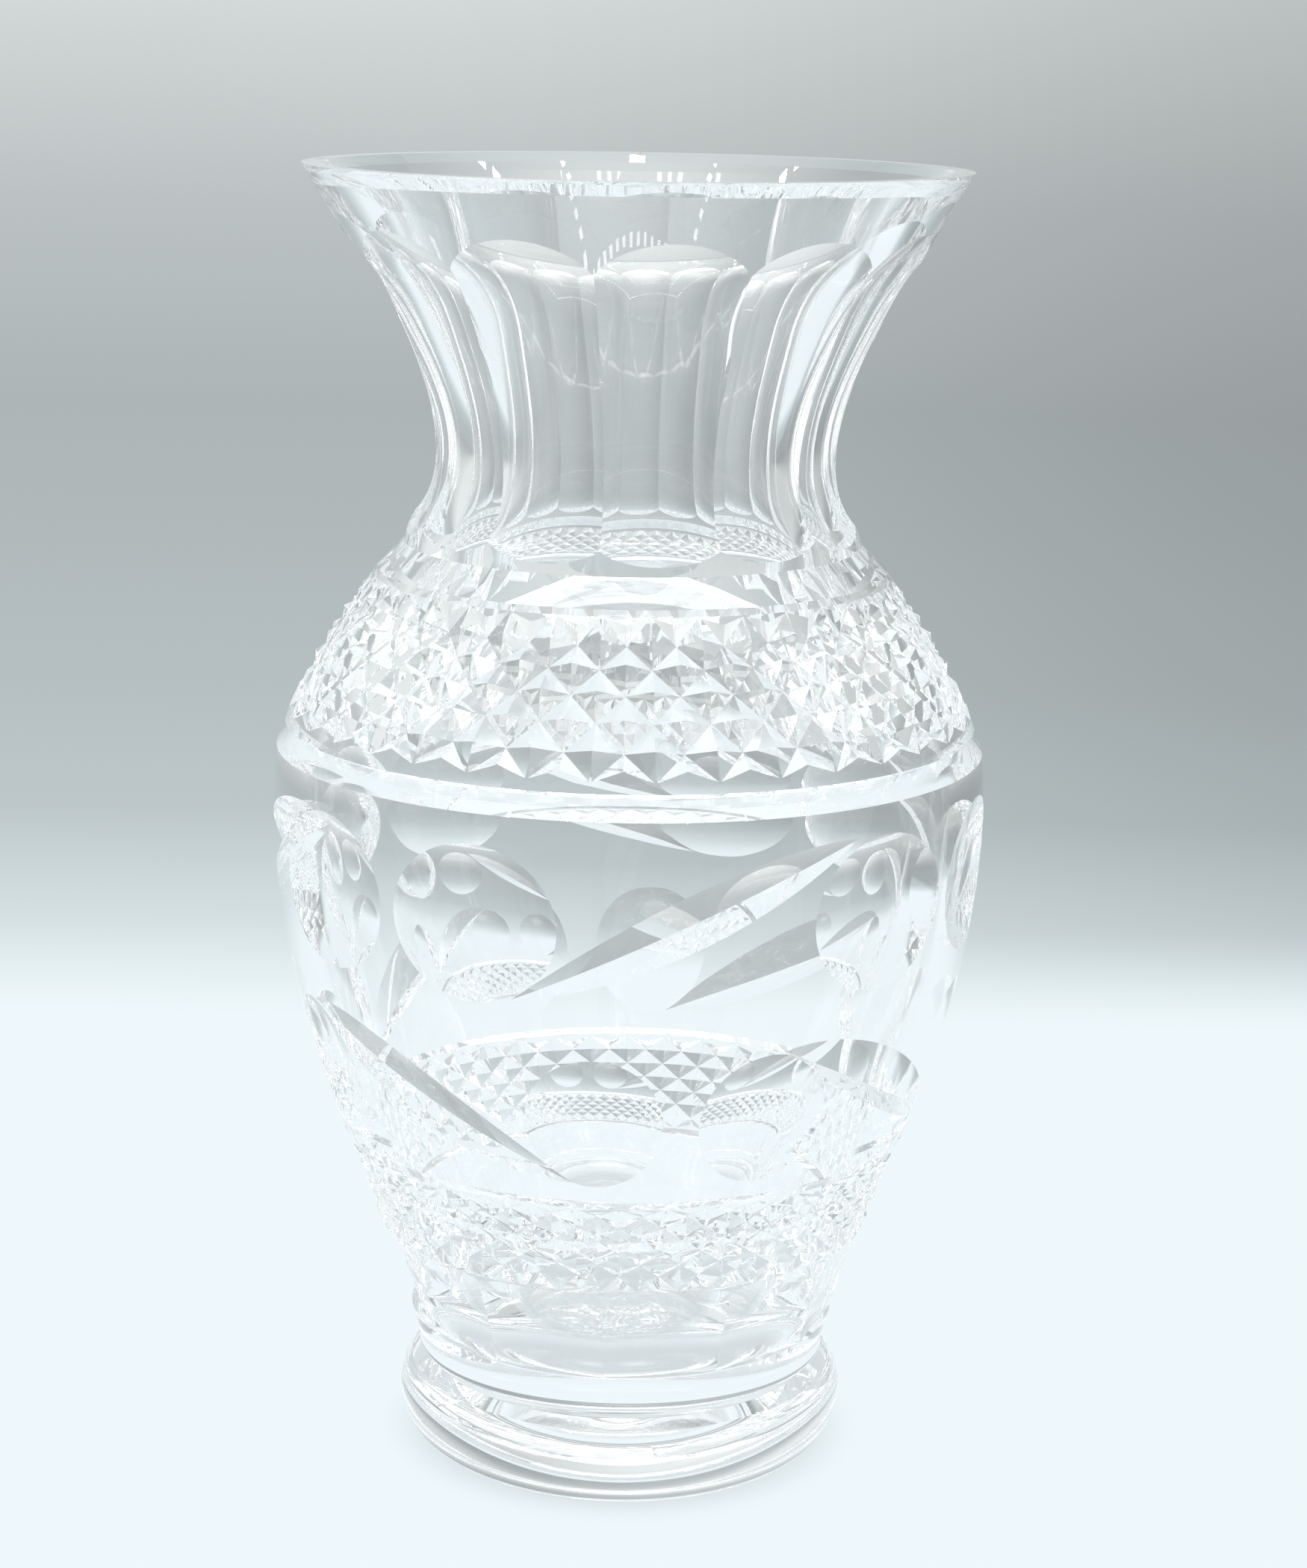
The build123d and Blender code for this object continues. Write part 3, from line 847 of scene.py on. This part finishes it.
def bulbs():
    """Small bulbs in two square frames under the lid of the tent, larger farther out."""
    level = 0.6
    middle = -0.06
    frames = (0.1, 0.2)
    per_half = 8
    growth = 0.025
    spots = []
    for half in frames:
        for k in range(-per_half, per_half + 1):
            slid = half * k / per_half
            spots += [(slid, -half), (slid, half), (-half, slid), (half, slid)]
    points = []
    faces = []
    for x, y in spots:
        n = len(points)
        h = growth * hypot(x, y)
        for right, back in ((-1, -1), (-1, 1), (1, 1), (1, -1)):
            points.append((x + right * h, y + middle + back * h, level))
        faces.append((n, n + 1, n + 2, n + 3))
    lit("bulbs", points, faces, glowing("bulbs", strength=300.0))


def lid():
    """The lit cloth over the vase, brightest in its middle."""
    sides = 48
    radius = 0.5
    turns = [2 * pi * k / sides for k in range(sides)]
    rim = [(radius * cos(a), radius * sin(a), 0.0) for a in turns]
    face = tuple(reversed(range(sides)))
    cloth = lit("lid", rim, [face], glowing("lid", strength=4.5, reach=0.48))
    cloth.location = (0, -0.05, 0.62)


def room():
    """A soft white tent: grey where it meets the table, white overhead."""
    world = bpy.data.worlds.new("room")
    bpy.context.scene.world = world
    world.use_nodes = True
    nodes = world.node_tree.nodes
    links = world.node_tree.links
    way = nodes.new("ShaderNodeTexCoord")
    split = nodes.new("ShaderNodeSeparateXYZ")
    links.new(way.outputs["Generated"], split.inputs["Vector"])
    tone = nodes.new("ShaderNodeValToRGB")
    shades(tone.color_ramp, [(0.02, (0.45, 0.50, 0.51)), (0.45, (0.94, 0.98, 1.0))])
    links.new(split.outputs["Z"], tone.inputs["Fac"])
    links.new(tone.outputs["Color"], nodes["Background"].inputs["Color"])


def camera_at(place, tilt, roll, lens):
    """The camera, looking towards the back, tilted down from straight ahead and rolled."""
    camera = bpy.data.objects.new("camera", bpy.data.cameras.new("camera"))
    camera.data.sensor_width = 36.0
    camera.data.lens = lens
    camera.data.clip_start = 0.01
    look = Matrix.Rotation(radians(90 - tilt), 4, "X") @ Matrix.Rotation(radians(roll), 4, "Z")
    camera.matrix_world = Matrix.Translation(place) @ look
    bpy.context.scene.collection.objects.link(camera)
    bpy.context.scene.camera = camera


vase = cut_vase()
vase.data.materials.clear()
vase.data.materials.append(crystal())
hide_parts("vase_body")
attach(vase, "root")

sweep()
bulbs()
lid()
room()
camera_at((0.004805, -0.64157, 0.28224), tilt=12.992, roll=1.0, lens=76.756)

scene = bpy.context.scene
scene.view_settings.view_transform = "Standard"
scene.cycles.max_bounces = 64
scene.cycles.transmission_bounces = 64
scene.cycles.glossy_bounces = 64
scene.cycles.sample_clamp_indirect = 10.0
scene.cycles.use_denoising = True
